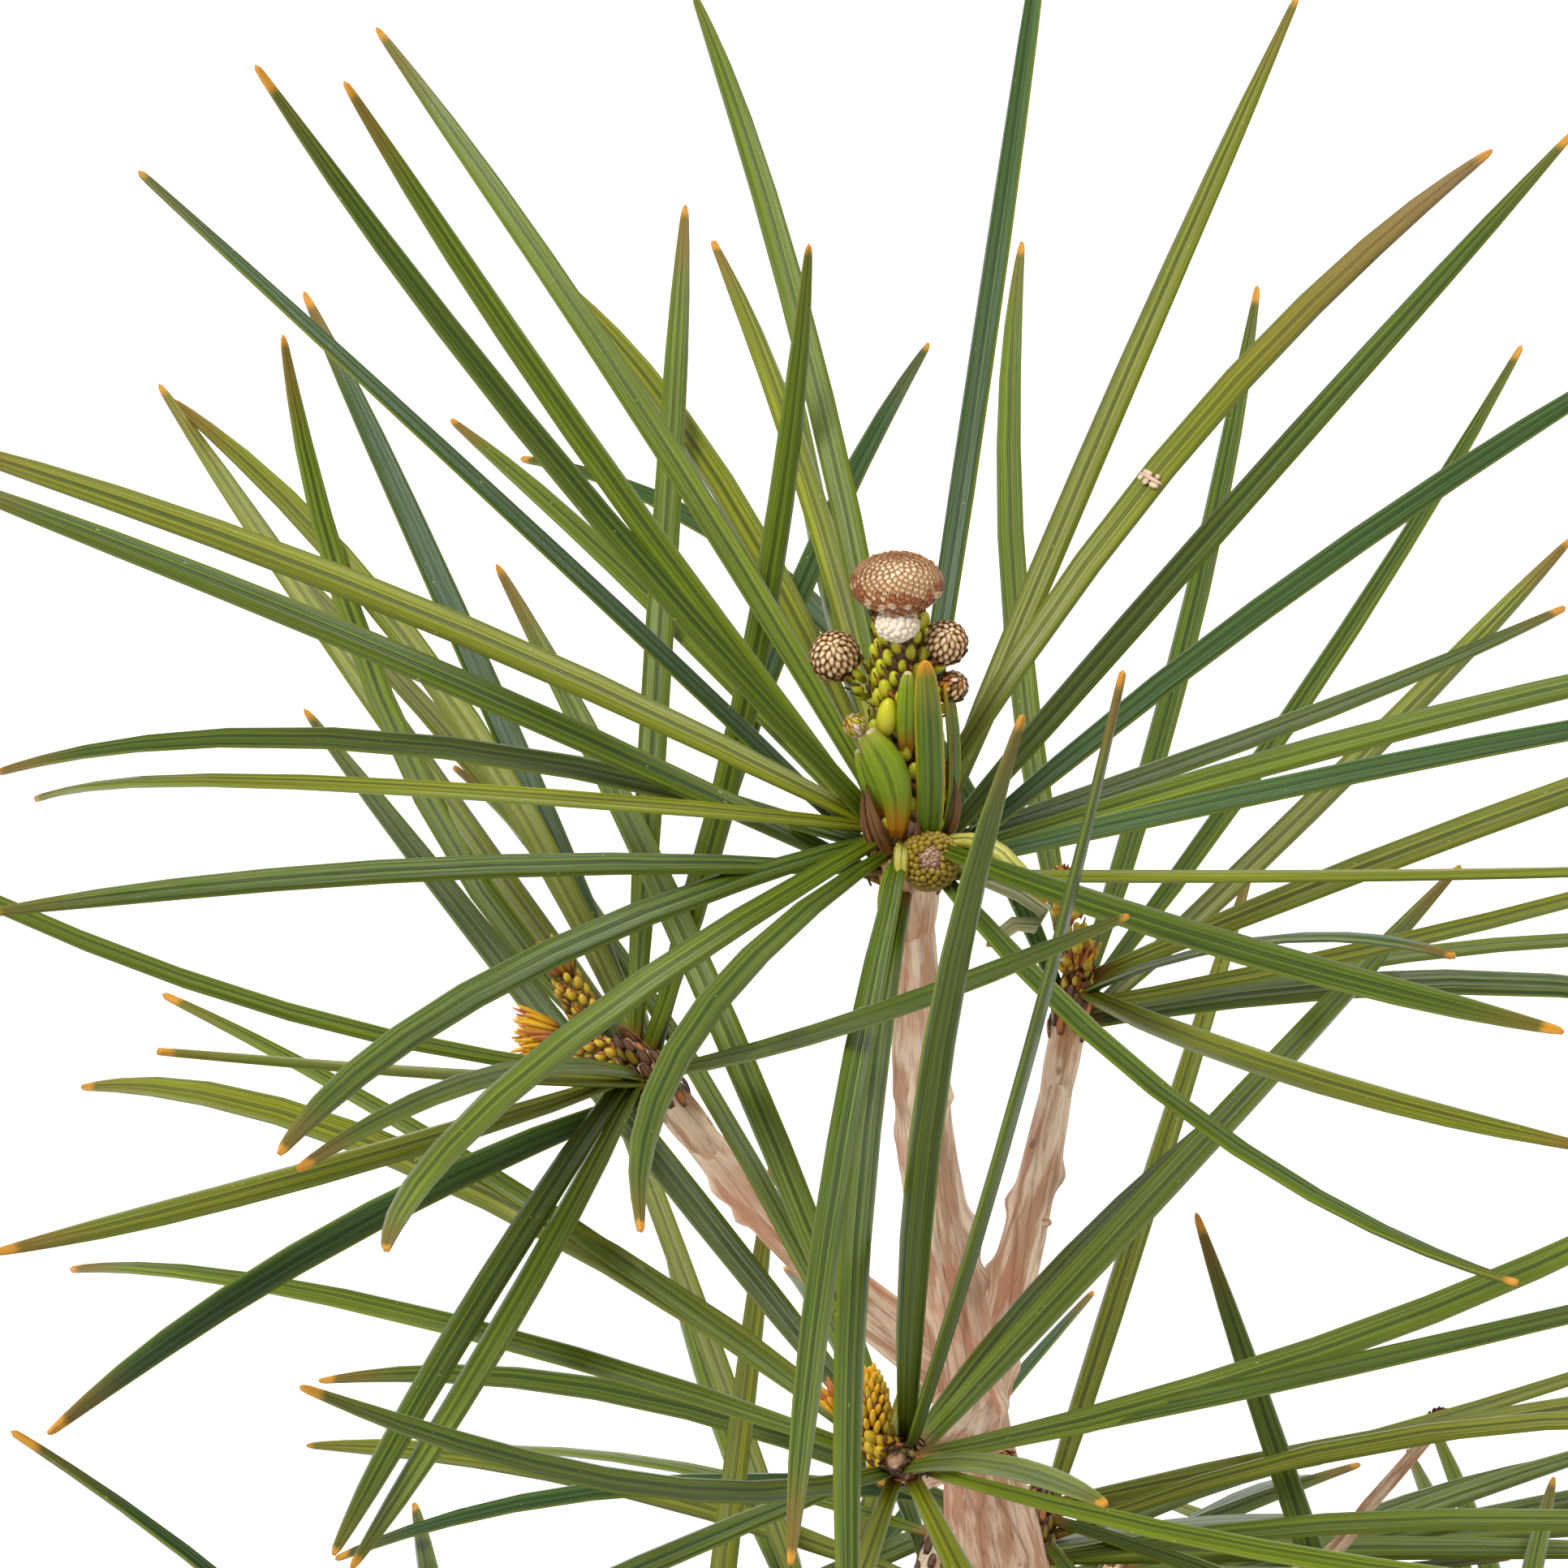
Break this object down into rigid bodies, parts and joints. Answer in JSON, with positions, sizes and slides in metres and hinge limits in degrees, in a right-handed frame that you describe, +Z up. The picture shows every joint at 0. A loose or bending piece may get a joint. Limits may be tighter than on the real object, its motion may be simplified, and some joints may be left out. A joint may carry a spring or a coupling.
{
  "type": "potted japanese umbrella pine",
  "caption": "Young umbrella pine in a plain clay pot: a leaning, tapering trunk, short boughs and whorls of long flat needles, with a cluster of young cones at its top.",
  "frame": {"origin": "middle of the pot's flat underside", "axes": "+Z up along the pot's axis, -Y towards the viewer of the picture and +X to the viewer's right"},
  "size_m": [0.3208, 0.3204, 0.4267],
  "materials": {
    "needles": "semi-gloss leathery green with a paler groove and orange tips",
    "bark": "matte, smooth pinkish-buff bark with fine lengthwise fibres",
    "clay": "matte unglazed terracotta",
    "soil": "rough dark potting soil"
  },
  "bodies": {
    "root": {"bough_front": "bark", "bough_left": "bark", "bough_low_right": "bark", "bough_lowest_1": "bark", "bough_lowest_2": "bark", "bough_lowest_3": "bark", "bough_lowest_4": "bark", "bough_lowest_5": "bark", "bough_middle_back": "bark", "bough_middle_left": "bark", "bough_middle_right": "bark", "bough_right": "bark", "needles_front": "needles", "needles_left": "needles", "needles_low_right": "needles", "needles_lowest_1": "needles", "needles_lowest_2": "needles", "needles_lowest_3": "needles", "needles_lowest_4": "needles", "needles_lowest_5": "needles", "needles_middle_back": "needles", "needles_middle_left": "needles", "needles_middle_right": "needles", "needles_right": "needles", "needles_top": "needles", "pot": "clay", "soil": "soil", "trunk": "bark"}
  },
  "joints": []
}
